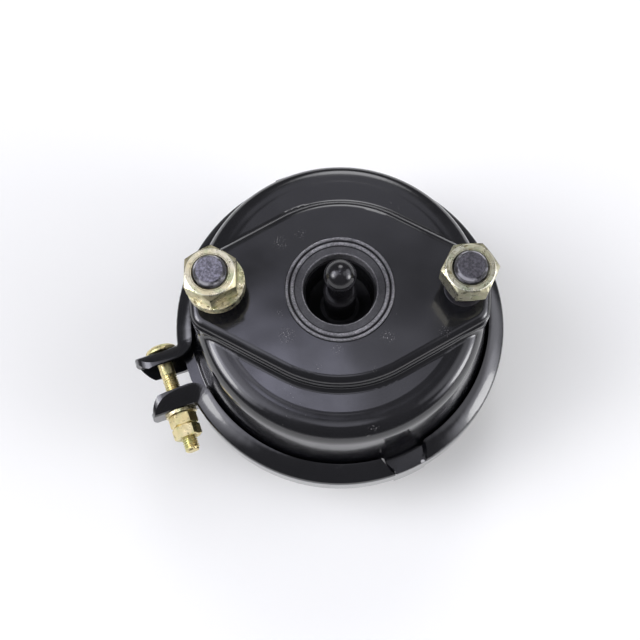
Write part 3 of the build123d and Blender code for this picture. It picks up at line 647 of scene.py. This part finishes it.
def softbox(name, direction, radiance, aim=(0, 0, -0.03)):
    """Round area lamp of an even brightness that looks at the part from a direction."""
    lamp = bpy.data.lights.new(name, "AREA")
    lamp.shape = "DISK"
    lamp.size = softbox_size
    lamp.energy = radiance * pi * pi * softbox_size * softbox_size / 4
    holder = bpy.data.objects.new(name, lamp)
    bpy.context.scene.collection.objects.link(holder)
    out = Vector(direction).normalized()
    holder.location = Vector(aim) + out * softbox_distance
    holder.rotation_euler = out.to_track_quat("Z", "Y").to_euler()


softbox("left_softbox", (-0.765, -0.155, 0.63), 5.5)
softbox("right_softbox", (0.93, -0.24, 0.36), 6.5)

# Sky: dark walls above a pale horizon, with soft bright panels
world = bpy.data.worlds.new("studio")
world.use_nodes = True
bpy.context.scene.world = world
tree = world.node_tree
way = tree.nodes.new("ShaderNodeVectorMath")
way.operation = "NORMALIZE"
tree.links.new(tree.nodes.new("ShaderNodeTexCoord").outputs["Generated"], way.inputs[0])
rise = tree.nodes.new("ShaderNodeSeparateXYZ")
tree.links.new(way.outputs["Vector"], rise.inputs["Vector"])


def sky_band(points):
    """Colour ramp over the height of the direction, from (height, grey) points."""
    ramp = tree.nodes.new("ShaderNodeValToRGB")
    while len(ramp.color_ramp.elements) < len(points):
        ramp.color_ramp.elements.new(0.5)
    for element, (position, grey) in zip(ramp.color_ramp.elements, points):
        element.position = position
        element.color = (grey, grey, 1.03 * grey, 1)
    tree.links.new(rise.outputs["Z"], ramp.inputs["Fac"])
    return ramp.outputs["Color"]


def sky_panel(sky, azimuth, elevation, inner, outer, level, blue):
    """Add a soft round panel to the sky, its middle given in degrees."""
    turn = radians(azimuth)
    lift = radians(elevation)
    centre = (cos(lift) * cos(turn), cos(lift) * sin(turn), sin(lift))
    toward = tree.nodes.new("ShaderNodeVectorMath")
    toward.operation = "DOT_PRODUCT"
    toward.inputs[1].default_value = centre
    tree.links.new(way.outputs["Vector"], toward.inputs[0])
    fade = tree.nodes.new("ShaderNodeMapRange")
    fade.interpolation_type = "SMOOTHSTEP"
    fade.inputs["From Min"].default_value = cos(radians(outer))
    fade.inputs["From Max"].default_value = cos(radians(inner))
    tree.links.new(toward.outputs["Value"], fade.inputs["Value"])
    glow = tree.nodes.new("ShaderNodeMix")
    glow.data_type = "RGBA"
    glow.blend_type = "ADD"
    glow.inputs["B"].default_value = (level, level, blue * level, 1)
    tree.links.new(fade.outputs["Result"], glow.inputs["Factor"])
    tree.links.new(sky, glow.inputs["A"])
    return glow.outputs["Result"]


sky = sky_band([(0.0, 0.80), (0.03, 0.60), (0.09, 0.18), (0.20, 0.13), (0.6, 0.15), (1.0, 0.17)])
# Azimuth and elevation of a panel's middle, inner and outer reach in degrees, level, blueness
side_panels = [(-172, 41, 12, 28, 2.0, 1.12), (168, 45, 4, 16, 3.0, 1.12), (-14, 24, 10, 24, 2.2, 1.10)]
side_panels += [(16, 30, 6, 22, 1.8, 1.10), (175, 65, 8, 22, 1.5, 1.15), (0, 56, 8, 20, 0.9, 1.10)]
far_panels = [(86, 40, 4, 15, 4.0, 1.03), (88, 61, 5, 12, 0.50, 1.15)]
high_panels = [(106, 76.5, 1, 6, 2.5, 1.25), (76, 76, 1, 5, 0.8, 1.15), (-90, 85, 3, 9, 1.0, 1.15)]
for panel in side_panels + far_panels + high_panels:
    sky = sky_panel(sky, *panel)
tree.links.new(sky, tree.nodes["Background"].inputs["Color"])


def place_camera():
    """Camera of the photograph: turned about the part, tilted, rolled and shifted off its axis."""
    back = Vector((sin(view_azimuth) * cos(view_elevation), -cos(view_azimuth) * cos(view_elevation),
                   sin(view_elevation)))
    right = Vector((cos(view_azimuth), sin(view_azimuth), 0))
    up = back.cross(right)
    rolled_right = right * cos(view_roll) + up * sin(view_roll)
    rolled_up = up * cos(view_roll) - right * sin(view_roll)
    place = back * view_distance - rolled_right * view_offset[0] - rolled_up * view_offset[1]
    camera = bpy.data.cameras.new("camera")
    camera.lens = view_lens
    camera.sensor_width = sensor_width
    camera.shift_y = view_centre_drop
    holder = bpy.data.objects.new("camera", camera)
    bpy.context.scene.collection.objects.link(holder)
    turn = Matrix((rolled_right, rolled_up, back)).transposed().to_4x4()
    holder.matrix_world = Matrix.Translation(place) @ turn
    bpy.context.scene.camera = holder


place_camera()
bpy.context.scene.view_settings.view_transform = "Standard"
